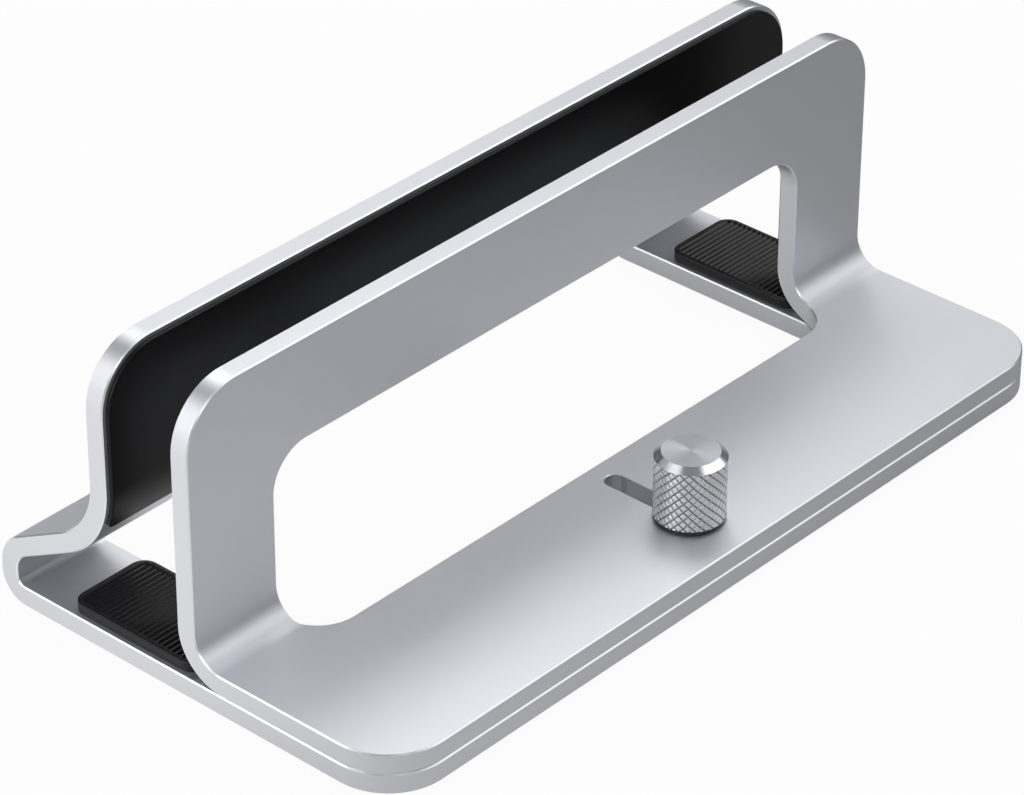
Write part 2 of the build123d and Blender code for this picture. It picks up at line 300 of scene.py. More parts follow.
wall_silicone = make_rubber(
    "wall_silicone", low=(0.003, 0.003, 0.004), high=(0.005, 0.005, 0.006),
    roughness=0.32, dimple=0.003 * MM, sheen=0.2,
)
rest_silicone = make_rubber(
    "rest_silicone", low=(0.005, 0.005, 0.006), high=(0.008, 0.008, 0.009),
    roughness=0.24, dimple=0.003 * MM, sheen=0.3,
)
foot_rubber = make_rubber(
    "foot_rubber", low=(0.020, 0.020, 0.021), high=(0.030, 0.030, 0.031),
    roughness=0.60, dimple=0.010 * MM,
)
print("rubbers", wall_silicone.name, rest_silicone.name, foot_rubber.name)

# %% [markdown]
# ## One flat blank, then the folds
#
# A folded sheet starts as a flat blank with its outline, window and holes cut.
# Modelling it folded from the start would mean cutting a window across curved
# surfaces. So the mesh is made as the real one is: flat first, then folded.
# On the blank, x runs along the stand and s runs across it, from the front edge.
# Every outline and hole here is a loop of straight edges with rounded corners.

# %% Rounded outlines
SAME_PLACE = 0.0001 * MM


def rounded_loop(corners, inset, steps):
    """Points of an outline. corners are (x, s, radius), anticlockwise. inset moves it inwards."""
    points = []
    count = len(corners)
    for index, (x, s, corner_radius) in enumerate(corners):
        before = Vector(corners[index - 1][:2])
        here = Vector((x, s))
        after = Vector(corners[(index + 1) % count][:2])
        way_in = (here - before).normalized()
        way_out = (after - here).normalized()
        left_in = Vector((-way_in.y, way_in.x))
        left_out = Vector((-way_out.y, way_out.x))
        inwards = (left_in + left_out) / (1 + left_in.dot(left_out))
        side = 1 if way_in.cross(way_out) > 0 else -1
        arc_radius = corner_radius - side * inset
        centre = here + inwards * (inset + side * arc_radius)
        start = math.atan2(-side * left_in.y, -side * left_in.x)
        turn = side * math.acos(max(-1.0, min(1.0, left_in.dot(left_out))))
        for step in range(steps + 1):
            angle = start + turn * step / steps
            point = centre + Vector((math.cos(angle), math.sin(angle))) * arc_radius
            if not points or (point - points[-1]).length > SAME_PLACE:
                points.append(point)
    if (points[0] - points[-1]).length < SAME_PLACE:
        points.pop()
    return points


def rectangle(x_low, s_low, x_high, s_high, corner_radius):
    """The four corners of a rectangle, anticlockwise."""
    return [
        (x_low, s_low, corner_radius),
        (x_high, s_low, corner_radius),
        (x_high, s_high, corner_radius),
        (x_low, s_high, corner_radius),
    ]


sample = rounded_loop(rectangle(0, 0, 20 * MM, 10 * MM, 2 * MM), inset=0, steps=4)
print("a rounded rectangle in 4 steps a corner has", len(sample), "points")

# %% [markdown]
# The wall of each loop is a stack of rings. A station says how far in the ring
# lies and at what height of the sheet, and which material the band below it has.
# Two flat skins then close the stack, with the holes left open in them.
# Booleans could cut the holes too, but they leave the edge without its own bands.

# %% Flat blank
SKIN = 0
CUT_EDGE = 1
MILLED = 2


def add_rings(bm, corners, stations, steps):
    """A stack of rings along one outline. Returns the edges of its first and last ring."""
    rings = []
    for inset, height, _ in stations:
        rings.append([bm.verts.new((p.x, p.y, height)) for p in rounded_loop(corners, inset, steps)])
    count = len(rings[0])
    for lower, upper, station in zip(rings, rings[1:], stations[1:]):
        for index in range(count):
            other = (index + 1) % count
            face = bm.faces.new((lower[index], lower[other], upper[other], upper[index]))
            face.material_index = station[2]
    ends = []
    for ring in (rings[0], rings[-1]):
        ends.append([bm.edges.get((ring[i], ring[(i + 1) % count])) for i in range(count)])
    return ends


def make_blank(loops, steps=16):
    """A flat sheet as a mesh. loops are (corners, stations): the outline first, then its holes."""
    bm = bmesh.new()
    first_edges, last_edges = [], []
    for corners, stations in loops:
        first, last = add_rings(bm, corners, stations, steps)
        first_edges += first
        last_edges += last
    for edges in (first_edges, last_edges):
        bmesh.ops.triangle_fill(bm, use_beauty=True, use_dissolve=False, edges=edges)
    bmesh.ops.remove_doubles(bm, verts=bm.verts, dist=SAME_PLACE)
    bmesh.ops.recalc_face_normals(bm, faces=bm.faces)
    return bm


def cut_across(bm, places, axis=1):
    """Cuts the mesh by planes across an axis, so that it can bend or take ribs there."""
    normal = Vector((0, 0, 0))
    normal[axis] = 1
    for place in places:
        geometry = bm.verts[:] + bm.edges[:] + bm.faces[:]
        bmesh.ops.bisect_plane(bm, geom=geometry, dist=SAME_PLACE, plane_co=normal * place, plane_no=normal)


print("a sheet's finishes by number: skin", SKIN, "cut edge", CUT_EDGE, "milled", MILLED)

# %% [markdown]
# The fold line is the middle of the sheet's thickness, seen from the side: straight
# runs and bends, one after the other. Walking along it gives the place and the
# direction at any distance, and a point of the blank keeps its height above it.
# A Simple Deform modifier bends a mesh only once, and this sheet has three bends.

# %% Fold line


class FoldLine:
    """The middle line of a folded sheet, in the plane of Y and Z."""

    def __init__(self, start, runs):
        self.parts = []
        self.length = 0.0
        place, heading = Vector(start), 0.0
        for kind, size, turn in runs:
            length = size if kind == "run" else size * abs(turn)
            self.parts.append((kind, self.length, length, place.copy(), heading, size, turn))
            self.length += length
            place, heading = self.at(self.length)

    def at(self, distance):
        """Place and heading at a distance along the line."""
        part = self.parts[0]
        for candidate in self.parts:
            if candidate[1] <= distance:
                part = candidate
        kind, begin, length, place, heading, size, turn = part
        along = distance - begin
        if kind == "run":
            return place + Vector((math.cos(heading), math.sin(heading))) * along, heading
        side = 1 if turn > 0 else -1
        centre = place + Vector((-math.sin(heading), math.cos(heading))) * side * size
        now = heading + side * along / size
        return centre + Vector((math.sin(now), -math.cos(now))) * side * size, now

    def last_run(self):
        """The distance at which the last part of the line begins."""
        return self.parts[-1][1]

    def cuts(self, degrees_each):
        """Distances at which the sheet has to be cut to bend smoothly."""
        places = []
        for kind, begin, length, _, _, _, turn in self.parts:
            if kind == "bend":
                count = max(1, round(abs(math.degrees(turn)) / degrees_each))
                places += [begin + length * step / count for step in range(count + 1)]
        return places

    def fold(self, bm, middle):
        """Folds a flat blank: x stays, s runs along the line, height stands off it."""
        for vert in bm.verts:
            x, s, height = vert.co
            place, heading = self.at(s)
            place = place + Vector((-math.sin(heading), math.cos(heading))) * (height - middle)
            vert.co = (x, place.x, place.y)


quarter = FoldLine((0, 0), [("bend", 10 * MM, math.pi / 2)])
print("a quarter bend of 10 mm takes", round(quarter.length / MM, 2), "mm of sheet")

# %% [markdown]
# ## From a mesh to a piece
#
# A mesh becomes a piece of the stand when it rides on a body of the frame, has a
# slot for its finish and takes the place of its CAD node. The shading is smooth,
# and stays sharp only where the surface turns by more than a limit or the finish
# changes. The Weighted Normal modifier lets the large flat faces lead, or the
# narrow cut edge would throw a grey shade over the face beside it.

# %% Piece maker
SMOOTH_LIMIT = math.radians(28)
FLAT_FACE_WEIGHT = 90


def finish_piece(bm, name, body, node, materials, even=True):
    """Turns a mesh into a piece that rides on a body and stands for a CAD node."""
    bmesh.ops.recalc_face_normals(bm, faces=bm.faces)
    for face in bm.faces:
        face.smooth = True
    for edge in bm.edges:
        if len(edge.link_faces) == 2:
            first, second = edge.link_faces
            other_finish = first.material_index != second.material_index
            edge.smooth = edge.calc_face_angle() < SMOOTH_LIMIT and not other_finish
    open_count = sum(1 for edge in bm.edges if not edge.is_manifold)
    mesh = bpy.data.meshes.new(name)
    bm.to_mesh(mesh)
    bm.free()
    for material in materials:
        mesh.materials.append(material)
    piece = bpy.data.objects.new(name, mesh)
    bpy.context.scene.collection.objects.link(piece)
    if even:
        modifier = piece.modifiers.new("even shading", "WEIGHTED_NORMAL")
        modifier.keep_sharp = True
        modifier.weight = FLAT_FACE_WEIGHT
    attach(piece, body)
    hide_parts(node)
    print(name, "has", len(mesh.polygons), "faces and", open_count, "open edges")


print("faces that meet at less than", round(math.degrees(SMOOTH_LIMIT)), "degrees are shaded as one")

# %% [markdown]
# ## The two sheets
#
# Both sheets are 4 mm thick, with the same outer corners and the same window. After
# anodising, a diamond tool cuts the corners of every edge and leaves a narrow
# bright line on both faces. So the edge is a stack of three bands, a bright cut, the
# milled middle and a bright cut again, and the window has the same stack outwards.

# %% Sizes of the sheets
SHEET = 4 * MM
SHEET_CORNER = 12 * MM
BRIGHT_WIDTH = 0.25 * MM
LEG_WIDTH = 20 * MM
WINDOW_SETBACK = 35.6 * MM
WINDOW_TOP = 40 * MM
WINDOW_CORNER = 8 * MM
BEND_STEP = 4

base_low, base_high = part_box("base_frame")
half_length = base_high.x
half_window = half_length - LEG_WIDTH
front = base_low.y
bright_outline = [
    (BRIGHT_WIDTH, 0, SKIN),
    (0, BRIGHT_WIDTH, CUT_EDGE),
    (0, SHEET - BRIGHT_WIDTH, MILLED),
    (BRIGHT_WIDTH, SHEET, CUT_EDGE),
]
bright_window = [(-inset, height, finish) for inset, height, finish in bright_outline]
print("the stand is", round(2 * half_length / MM, 1), "mm long")

# %% [markdown]
# ## The base sheet
#
# The sheet runs back from the front edge and turns over in a tight fold at its
# nose, which is two bends with a short rise between them. Then it comes forward up
# a slope and bends upright. The lengths of the straight runs aren't written down.
# They follow from where the nose and the rear wall stand in the frame.

# %% Fold line of the base
NOSE_LOWER_INSIDE = 1.75 * MM
NOSE_UPPER_INSIDE = 4 * MM
NOSE_RISE = 1.2 * MM
SLOPE = math.radians(28)
UPPER_BEND_INSIDE = 15 * MM
PAD_THICKNESS = 0.8 * MM

rear_wall_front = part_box("rear_wall_pad")[0].y + PAD_THICKNESS
nose_lower_mid = NOSE_LOWER_INSIDE + SHEET / 2
nose_upper_mid = NOSE_UPPER_INSIDE + SHEET / 2
upper_mid = UPPER_BEND_INSIDE + SHEET / 2
nose_back = base_high.y - SHEET / 2
slope_start_y = nose_back - nose_upper_mid * (1 - math.sin(SLOPE))
slope_end_y = rear_wall_front + SHEET / 2 + upper_mid * (1 - math.sin(SLOPE))
slope_run = (slope_start_y - slope_end_y) / math.cos(SLOPE)
upper_bend_z = (
    base_low.z + SHEET / 2 + nose_lower_mid + NOSE_RISE + nose_upper_mid * math.cos(SLOPE)
    + slope_run * math.sin(SLOPE) + upper_mid * math.cos(SLOPE)
)
base_line = FoldLine(
    (front, base_low.z + SHEET / 2),
    [
        ("run", nose_back - nose_lower_mid - front, 0),
        ("bend", nose_lower_mid, math.pi / 2),
        ("run", NOSE_RISE, 0),
        ("bend", nose_upper_mid, math.pi / 2 - SLOPE),
        ("run", slope_run, 0),
        ("bend", upper_mid, SLOPE - math.pi / 2),
        ("run", base_high.z - upper_bend_z, 0),
    ],
)
base_window_top = base_line.length - (base_high.z - base_low.z - WINDOW_TOP)
print("the base blank is", round(base_line.length / MM, 1), "mm deep before folding")

# %% [markdown]
# From below, the base has a countersunk hole for the clamp screw and two stepped
# slots for the guide screws that keep the jaw straight. A stepped slot is one more
# stack of rings: wide from below, a shelf half-way, and narrow up to the other
# face. The slots are as long as the jaw's travel, which the frame's joint gives.

# %% Holes of the base sheet
SCREW_HOLE = 2.0 * MM
SINK_DEPTH = 1.8 * MM
GUIDE_SPACING = 110 * MM
GUIDE_SLOT = 1.6 * MM
GUIDE_RECESS = 3.0 * MM
GUIDE_SHELF = 2 * MM

screw_low, screw_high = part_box("clamp_screw")
screw_s = (screw_low.y + screw_high.y) / 2 - front
guide_low, guide_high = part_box("left_guide_screw")
guide_s = (guide_low.y + guide_high.y) / 2 - front
jaw_travel = next(j for j in frame["joints"] if j["name"] == "jaw_slide")["range_m"][1]


def round_hole(x, s, hole_radius):
    """A round hole as an outline of four quarter turns."""
    return rectangle(x - hole_radius, s - hole_radius, x + hole_radius, s + hole_radius, hole_radius)


def long_hole(x, s_first, s_last, half_width):
    """A slot with round ends, from one end's centre to the other's."""
    return rectangle(x - half_width, s_first - half_width, x + half_width, s_last + half_width, half_width)


countersink = [(-SINK_DEPTH, 0, SKIN), (0, SINK_DEPTH, SKIN), (0, SHEET, SKIN)]
widening = GUIDE_RECESS - GUIDE_SLOT
stepped = [(-widening, 0, SKIN), (-widening, GUIDE_SHELF, SKIN), (0, GUIDE_SHELF, SKIN), (0, SHEET, SKIN)]
base_loops = [
    (rectangle(-half_length, 0, half_length, base_line.length, SHEET_CORNER), bright_outline),
    (rectangle(-half_window, WINDOW_SETBACK, half_window, base_window_top, WINDOW_CORNER), bright_window),
    (round_hole(0, screw_s, SCREW_HOLE), countersink),
]
for side in (-1, 1):
    guide_hole = long_hole(side * GUIDE_SPACING / 2, guide_s - jaw_travel, guide_s, GUIDE_SLOT)
    base_loops.append((guide_hole, stepped))
print("the jaw travels", round(jaw_travel / MM, 1), "mm, and the base has", len(base_loops) - 1, "holes")

# %% [markdown]
# Now the blank is made and folded. It has to be cut across wherever it bends: one
# cut every four degrees makes a bend look round, and the straight runs need none.
# The same cuts bend the walls of the window, which runs through all the folds.

# %% Fold the base sheet
SHEET_FINISHES = [blasted, bright_cut, milled]

bm = make_blank(base_loops)
cut_across(bm, base_line.cuts(BEND_STEP))
base_line.fold(bm, SHEET / 2)
finish_piece(bm, "base_sheet", "base", "base_frame", SHEET_FINISHES)

# %% [markdown]
# ## The sliding sheet
#
# This sheet has one bend only, from the plate up into the front wall, so it takes
# the same steps with a shorter fold line. The slot for the clamp screw is milled
# through the plate and has a very small bright cut round its top.

# %% Sliding sheet
FRONT_BEND_INSIDE = 6 * MM
SLOT_HALF_WIDTH = 2.05 * MM
SLOT_EDGE = 0.12 * MM

jaw_low, jaw_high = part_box("sliding_frame")
jaw_bend_mid = FRONT_BEND_INSIDE + SHEET / 2
jaw_line = FoldLine(
    (front, jaw_low.z + SHEET / 2),
    [
        ("run", jaw_high.y - SHEET / 2 - jaw_bend_mid - front, 0),
        ("bend", jaw_bend_mid, math.pi / 2),
        ("run", jaw_high.z - jaw_low.z - SHEET / 2 - jaw_bend_mid, 0),
    ],
)
jaw_window_top = jaw_line.length - (base_high.z - base_low.z - WINDOW_TOP)
slot_stations = [(0, 0, SKIN), (0, SHEET - SLOT_EDGE, MILLED), (-SLOT_EDGE, SHEET, CUT_EDGE)]
jaw_loops = [
    (rectangle(-half_length, 0, half_length, jaw_line.length, SHEET_CORNER), bright_outline),
    (rectangle(-half_window, WINDOW_SETBACK, half_window, jaw_window_top, WINDOW_CORNER), bright_window),
    (long_hole(0, screw_s, screw_s + jaw_travel, SLOT_HALF_WIDTH), slot_stations),
]
bm = make_blank(jaw_loops)
cut_across(bm, jaw_line.cuts(BEND_STEP))
jaw_line.fold(bm, SHEET / 2)
print("the sliding blank is", round(jaw_line.length / MM, 1), "mm deep before folding")
finish_piece(bm, "jaw_sheet", "jaw", "sliding_frame", SHEET_FINISHES)

# %% [markdown]
# ## The wall pads
#
# Each is a thin upside-down U of silicone, stuck to a wall and wrapped round its
# bend. A solid made flat and pushed against the wall would not follow the bend. So
# the pad is cut like the sheets and folds along the same line, standing off it by
# half the sheet's thickness. Its outer edge is rounded, as moulded silicone is.

# %% Outline of a wall pad
PAD_MARGIN = 0.95 * MM
PAD_CORNER = 1.5 * MM
ROUNDING_STEPS = 4


def soft_edge(thickness, rounding):
    """Stations of a pad: a straight side, then a quarter round up to the face."""
    stations = [(0, 0, SKIN), (0, thickness - rounding, SKIN)]
    for step in range(1, ROUNDING_STEPS + 1):
        angle = math.pi / 2 * step / ROUNDING_STEPS
        inset = rounding * (1 - math.cos(angle))
        stations.append((inset, thickness - rounding * (1 - math.sin(angle)), SKIN))
    return stations


def pad_outline(s_end, s_roof, s_top):
    """The upside-down U, anticlockwise from its lower left end."""
    outer = half_length - PAD_MARGIN
    inner = half_window + PAD_MARGIN
    roof_corner = WINDOW_CORNER + PAD_MARGIN
    top_corner = SHEET_CORNER - PAD_MARGIN
    return [
        (-outer, s_end, PAD_CORNER),
        (-inner, s_end, PAD_CORNER),
        (-inner, s_roof, roof_corner),
        (inner, s_roof, roof_corner),
        (inner, s_end, PAD_CORNER),
        (outer, s_end, PAD_CORNER),
        (outer, s_top, top_corner),
        (-outer, s_top, top_corner),
    ]


print("a wall pad leaves", round(PAD_MARGIN / MM, 2), "mm of metal in view all round it")

# %% [markdown]
# The rear pad lies on the front of its wall and the front pad on the back of its
# own, so the laptop stands between two soft faces. One function makes both: the
# side says on which face of the sheet the pad is glued, and the wrap says how far
# it follows the bend below the wall.

# %% Wall pads
PAD_ROUNDING = 0.3 * MM
REAR_PAD_WRAP = math.radians(25)
FRONT_PAD_WRAP = math.radians(40)


def make_wall_pad(name, body, node, line, window_top, wrap_length, side):
    """A wall pad. side is 1 on the upper face of the blank and -1 on the lower one."""
    outline = pad_outline(line.last_run() - wrap_length, window_top + PAD_MARGIN, line.length - PAD_MARGIN)
    bm = make_blank([(outline, soft_edge(PAD_THICKNESS, PAD_ROUNDING))])
    cut_across(bm, line.cuts(BEND_STEP))
    for vert in bm.verts:
        vert.co.z = side * (SHEET / 2 + vert.co.z)
    line.fold(bm, 0)
    finish_piece(bm, name, body, node, [wall_silicone])


make_wall_pad(
    "rear_pad", "base", "rear_wall_pad", base_line, base_window_top, REAR_PAD_WRAP * upper_mid, side=1,
)
make_wall_pad(
    "front_pad", "jaw", "front_wall_pad", jaw_line, jaw_window_top, FRONT_PAD_WRAP * jaw_bend_mid, side=-1,
)

# %% [markdown]
# ## The ribbed rest pads
#
# The laptop's edge stands on these. Fine ribs run along the stand and stop short
# of the pad's border. A bump in the material would look right from afar only: it
# casts no shadow, and the pad's outline stays flat. So the ribs are in the mesh. The
# pad's top is cut into narrow strips, and each point of it sinks by a wave along Y,
# which fades out towards the border.

# %% Rest pads
REST_CORNER = 3 * MM
REST_ROUNDING = 0.3 * MM
REST_BORDER = 0.75 * MM
REST_FADE = 0.3 * MM
FADE_COLUMNS = 10
RIB_PITCH = 1.2 * MM
RIB_DEPTH = 0.4 * MM
RIB_SAMPLES = 8
GROOVE_FULLNESS = 0.7
NEAR_TOP = 0.01 * MM


def border_distance(x, y, half_width, half_depth, corner_radius):
    """How far a point lies inside a rounded rectangle."""
    over_x = abs(x) - (half_width - corner_radius)
    over_y = abs(y) - (half_depth - corner_radius)
    outside = math.hypot(max(over_x, 0), max(over_y, 0))
    return corner_radius - outside - min(max(over_x, over_y), 0)


def make_rest_pad(name, node):
    """A ribbed pad in the place of its CAD solid."""
    low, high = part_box(node)
    centre = (low + high) / 2
    half_width, half_depth, height = high.x - centre.x, high.y - centre.y, high.z - low.z
    outline = rectangle(-half_width, -half_depth, half_width, half_depth, REST_CORNER)
    bm = make_blank([(outline, soft_edge(height, REST_ROUNDING))])
    rib_count = int(2 * (half_depth - REST_BORDER) / RIB_PITCH)
    ribs_half = rib_count * RIB_PITCH / 2
    rows = rib_count * RIB_SAMPLES
    cut_across(bm, [-ribs_half + RIB_PITCH * row / RIB_SAMPLES for row in range(rows + 1)])
    columns = [half_width - REST_BORDER - REST_FADE * step / 2 for step in range(FADE_COLUMNS)]
    cut_across(bm, [side * column for column in columns for side in (-1, 1)], axis=0)
    for vert in bm.verts:
        x, y, z = vert.co
        if z > height - NEAR_TOP and abs(y) < ribs_half:
            inside = border_distance(x, y, half_width, half_depth, REST_CORNER) - REST_BORDER
            share = max(0.0, min(1.0, inside / REST_FADE))
            wave = 0.5 - 0.5 * math.cos(2 * math.pi * (y + ribs_half) / RIB_PITCH)
            vert.co.z = z - RIB_DEPTH * share * wave ** GROOVE_FULLNESS
    bmesh.ops.translate(bm, verts=bm.verts, vec=(centre.x, centre.y, low.z))
    finish_piece(bm, name, "base", node, [rest_silicone], even=False)


for side in ("left", "right"):
    make_rest_pad(side + "_ribbed_pad", side + "_rest_pad")

# %% [markdown]
# ## The knob and its four finishes
#
# The knob is turned from bar, then knurled: a tool with slanting teeth presses two
# families of grooves into its side and leaves small diamonds between them. The
# rings on its top stretch every reflection into a ray from the centre. Rings in the
# height alone would need a very close camera, so the shader's Anisotropic does the
# stretching, with a tangent that runs round the axis. The rim is polished. The
# grooves are a little rougher than the diamonds, and their darker colour is painted
# shade in the recesses.

# %% Knob finishes
knob_low, knob_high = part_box("knob")
knob_place = (knob_low + knob_high) / 2


def place_rings(tree, bump, rings, depth):
    """Adds turned rings about the knob's axis below a bump."""
    ring = add_node(tree, "ShaderNodeGroup", node_tree=ring_group)
    ring.inputs["Axis X"].default_value = knob_place.x
    ring.inputs["Axis Y"].default_value = knob_place.y
    ring.inputs["Rings Per Metre"].default_value = rings
    ring_bump = add_node(tree, "ShaderNodeBump")
    ring_bump.inputs["Strength"].default_value = 1
    ring_bump.inputs["Distance"].default_value = depth
    tree.links.new(ring.outputs["Height"], ring_bump.inputs["Height"])
    tree.links.new(ring_bump.outputs["Normal"], bump.inputs["Normal"])


turned, bump = make_metal(
    "turned_top", low=(0.56, 0.56, 0.59), high=(0.62, 0.62, 0.65),
    grains=3000, cloud=200, roughness=0.15, spread=0.04, dimple=0.0005 * MM,
)
tree = turned.node_tree
place_rings(tree, bump, rings=9000, depth=0.002 * MM)
shader = tree.nodes["Principled BSDF"]
shader.inputs["Anisotropic"].default_value = 0.97
tangent = add_node(tree, "ShaderNodeTangent", direction_type="RADIAL", axis="Z")
tree.links.new(tangent.outputs["Tangent"], shader.inputs["Tangent"])

polished, _ = make_metal(
    "polished_rim", low=(0.74, 0.74, 0.77), high=(0.80, 0.80, 0.83),
    grains=3000, cloud=200, roughness=0.22, spread=0.05, dimple=0.001 * MM,
)
knurled, _ = make_metal(
    "knurled_side", low=(0.76, 0.76, 0.79), high=(0.84, 0.84, 0.87),
    grains=6000, cloud=300, roughness=0.34, spread=0.08, dimple=0.003 * MM,
)
# The groove colour is darker than the diamonds': painted shade in the recesses.
groove_painted_shade, _ = make_metal(
    "knurl_groove_painted_shade", low=(0.40, 0.40, 0.43), high=(0.48, 0.48, 0.51),
    grains=6000, cloud=300, roughness=0.42, spread=0.08, dimple=0.004 * MM,
)
print("knob finishes", turned.name, polished.name, knurled.name, groove_painted_shade.name)

# %% [markdown]
# ## The knurl, unrolled
#
# Cutting the grooves with booleans would be slow and leave ragged faces. The
# pattern is simpler when it is unrolled: one diamond with a low crown, repeated over
# a flat strip, in rows that are shifted by half a diamond. The strip is trimmed
# below and above and cut into narrow columns, so that it can be rolled.

# %% Unrolled knurl
KNURL_STARTS = 24
KNURL_DEPTH = 0.30 * MM
KNURL_CROWN = 0.11 * MM
KNURL_GROOVE = 0.21 * MM
RIM_DROP = 1.1 * MM
FOOT_EDGE = 0.3 * MM
TRIM_TOLERANCE = 0.001 * MM
TOP, RIM, SIDE, GROOVE = 0, 1, 2, 3

knob_radius = (knob_high.x - knob_low.x) / 2
knob_height = knob_high.z - knob_low.z
side_top = knob_height - RIM_DROP
pitch = 2 * math.pi * knob_radius / KNURL_STARTS


def add_diamond(bm, u, v):
    """One diamond of the unrolled strip: a low crown and four sloping sides."""
    reach = pitch / 2
    top = reach - KNURL_GROOVE
    around = ((1, 0), (0, 1), (-1, 0), (0, -1))
    low_ring = [bm.verts.new((u + a * reach, v + b * reach, -KNURL_DEPTH)) for a, b in around]
    high_ring = [bm.verts.new((u + a * top, v + b * top, -KNURL_CROWN)) for a, b in around]
    peak = bm.verts.new((u, v, 0))
    for index in range(4):
        other = (index + 1) % 4
        side = bm.faces.new((low_ring[index], low_ring[other], high_ring[other], high_ring[index]))
        # The sloping sides take the groove finish, whose darker colour is painted shade.
        side.material_index = GROOVE
        bm.faces.new((high_ring[index], high_ring[other], peak)).material_index = SIDE


bm = bmesh.new()
row_count = int(side_top / (pitch / 2)) + 2
for row in range(-1, row_count + 1):
    for column in range(KNURL_STARTS):
        add_diamond(bm, (column + 0.5 * (row % 2)) * pitch, row * pitch / 2)
bmesh.ops.remove_doubles(bm, verts=bm.verts, dist=TRIM_TOLERANCE)
for height, keep_above in ((FOOT_EDGE, True), (side_top, False)):
    bmesh.ops.bisect_plane(
        bm, geom=bm.verts[:] + bm.edges[:] + bm.faces[:], dist=TRIM_TOLERANCE,
        plane_co=(0, height, 0), plane_no=(0, 1, 0),
        clear_inner=keep_above, clear_outer=not keep_above,
    )
cut_across(bm, [pitch * column / 4 for column in range(-2, 4 * KNURL_STARTS + 2)], axis=0)
print("the unrolled knurl has", len(bm.faces), "faces")

# %% [markdown]
# ## The knob, rolled up and closed
#
# The strip is wrapped round the axis: its length becomes the angle, and its depth
# the distance from the axis. The points of the seam then meet and are merged. The
# two open rings that are left grow inwards: the upper one into the sloping rim and
# the turned top, the lower one into the foot, so the knob is one closed mesh.

# %% Roll and close the knob
RIM_WIDTH = 1.3 * MM
KNOB_HOLE = 2.05 * MM
TOP_RINGS = (0.75, 0.5, 0.25, 0.05)
SEAM_TOLERANCE = 0.002 * MM
RING_TOLERANCE = 0.01 * MM

for vert in bm.verts:
    u, v, depth = vert.co
    angle = u / knob_radius
    reach = knob_radius + depth
    vert.co = (reach * math.cos(angle), reach * math.sin(angle), v)
bmesh.ops.remove_doubles(bm, verts=bm.verts, dist=SEAM_TOLERANCE)


def open_edges(bm, height):
    """The open edges of the mesh at a height."""
    edges = [edge for edge in bm.edges if edge.is_boundary]
    return [e for e in edges if all(abs(v.co.z - height) < RING_TOLERANCE for v in e.verts)]


def grow(bm, edges, reach, height, finish):
    """Grows new faces from an open ring to a ring of that radius and height."""
    made = bmesh.ops.extrude_edge_only(bm, edges=edges)["geom"]
    for item in made:
        if isinstance(item, bmesh.types.BMVert):
            flat = Vector((item.co.x, item.co.y)).normalized() * reach
            item.co = (flat.x, flat.y, height)
        elif isinstance(item, bmesh.types.BMFace):
            item.material_index = finish
    return [item for item in made if isinstance(item, bmesh.types.BMEdge)]


for height in (side_top, FOOT_EDGE):
    grow(bm, open_edges(bm, height), knob_radius, height, GROOVE)
bmesh.ops.remove_doubles(bm, verts=bm.verts, dist=SEAM_TOLERANCE)
rim_edges = open_edges(bm, side_top)
foot_edges = open_edges(bm, FOOT_EDGE)
top_radius = knob_radius - RIM_WIDTH
edges = grow(bm, rim_edges, top_radius, knob_height, RIM)
for share in TOP_RINGS:
    edges = grow(bm, edges, top_radius * share, knob_height, TOP)
bmesh.ops.edgeloop_fill(bm, edges=edges, mat_nr=TOP)
edges = grow(bm, foot_edges, knob_radius - FOOT_EDGE, 0, RIM)
edges = grow(bm, edges, KNOB_HOLE, 0, RIM)
bmesh.ops.edgeloop_fill(bm, edges=edges, mat_nr=RIM)
bmesh.ops.translate(bm, verts=bm.verts, vec=(knob_place.x, knob_place.y, knob_low.z))
finish_piece(bm, "knurled_knob", "knob", "knob", [turned, polished, knurled, groove_painted_shade])

# %% [markdown]
# ## Small parts that stay as the CAD has them
#
# The washer, the screws and the feet already have their true shape, so building
# them again would add nothing. They only need a finish: moulded black plastic,
# zinc-plated steel and moulded rubber.

# %% Small parts
washer_plastic = make_rubber(
    "washer_plastic", low=(0.010, 0.010, 0.010), high=(0.015, 0.015, 0.015),
    roughness=0.45, dimple=0.003 * MM,
)
screw_steel, _ = make_metal(
    "screw_steel", low=(0.50, 0.50, 0.49), high=(0.60, 0.60, 0.58),
    grains=2500, cloud=150, roughness=0.30, spread=0.10, dimple=0.004 * MM,
)
finishes = {"knob_washer": washer_plastic}
for node in frame["nodes"]:
    if node.endswith("_foot"):
        finishes[node] = foot_rubber
    if node.endswith("_screw"):
        finishes[node] = screw_steel
for node, material in finishes.items():
    mesh = frame["nodes"][node].data
    mesh.materials.clear()
    mesh.materials.append(material)
print("finished", sorted(finishes))

# %% [markdown]
# ## The floor
#
# The stand is photographed on white. The camera sees the floor mostly as an even
# glow of strength 1, which is white, and the little that is left is pale paint that
# takes the stand's shadow. More light on a grey floor would give the same white but
# would burn out the metal. Mirroring rays see the glow too, fully at the left and
# the rear and fading to the right and the front: a painted pool of light, as on a
# table lit from one side. Under the glow they see a darker grey than the camera
# does, which is painted shade for the metal to mirror.

# %% Floor paint
FLOOR_PAINT = (0.8, 0.8, 0.8)
# A darker grey that only mirroring rays see: painted shade in the metal's reflections.
MIRRORED_SHADE_PAINT = (0.35, 0.35, 0.35)
SEEN_GLOW = 0.94
FRONT_GLOW = 0.486
REAR_GLOW = 0.594


def fade(tree, value, start, end, share):
    """Rises from 0 at start to a share at end."""
    node = add_node(tree, "ShaderNodeMapRange")
    node.inputs["From Min"].default_value = start
    node.inputs["From Max"].default_value = end
    node.inputs["To Max"].default_value = share
    tree.links.new(value, node.inputs["Value"])
    return node.outputs["Result"]


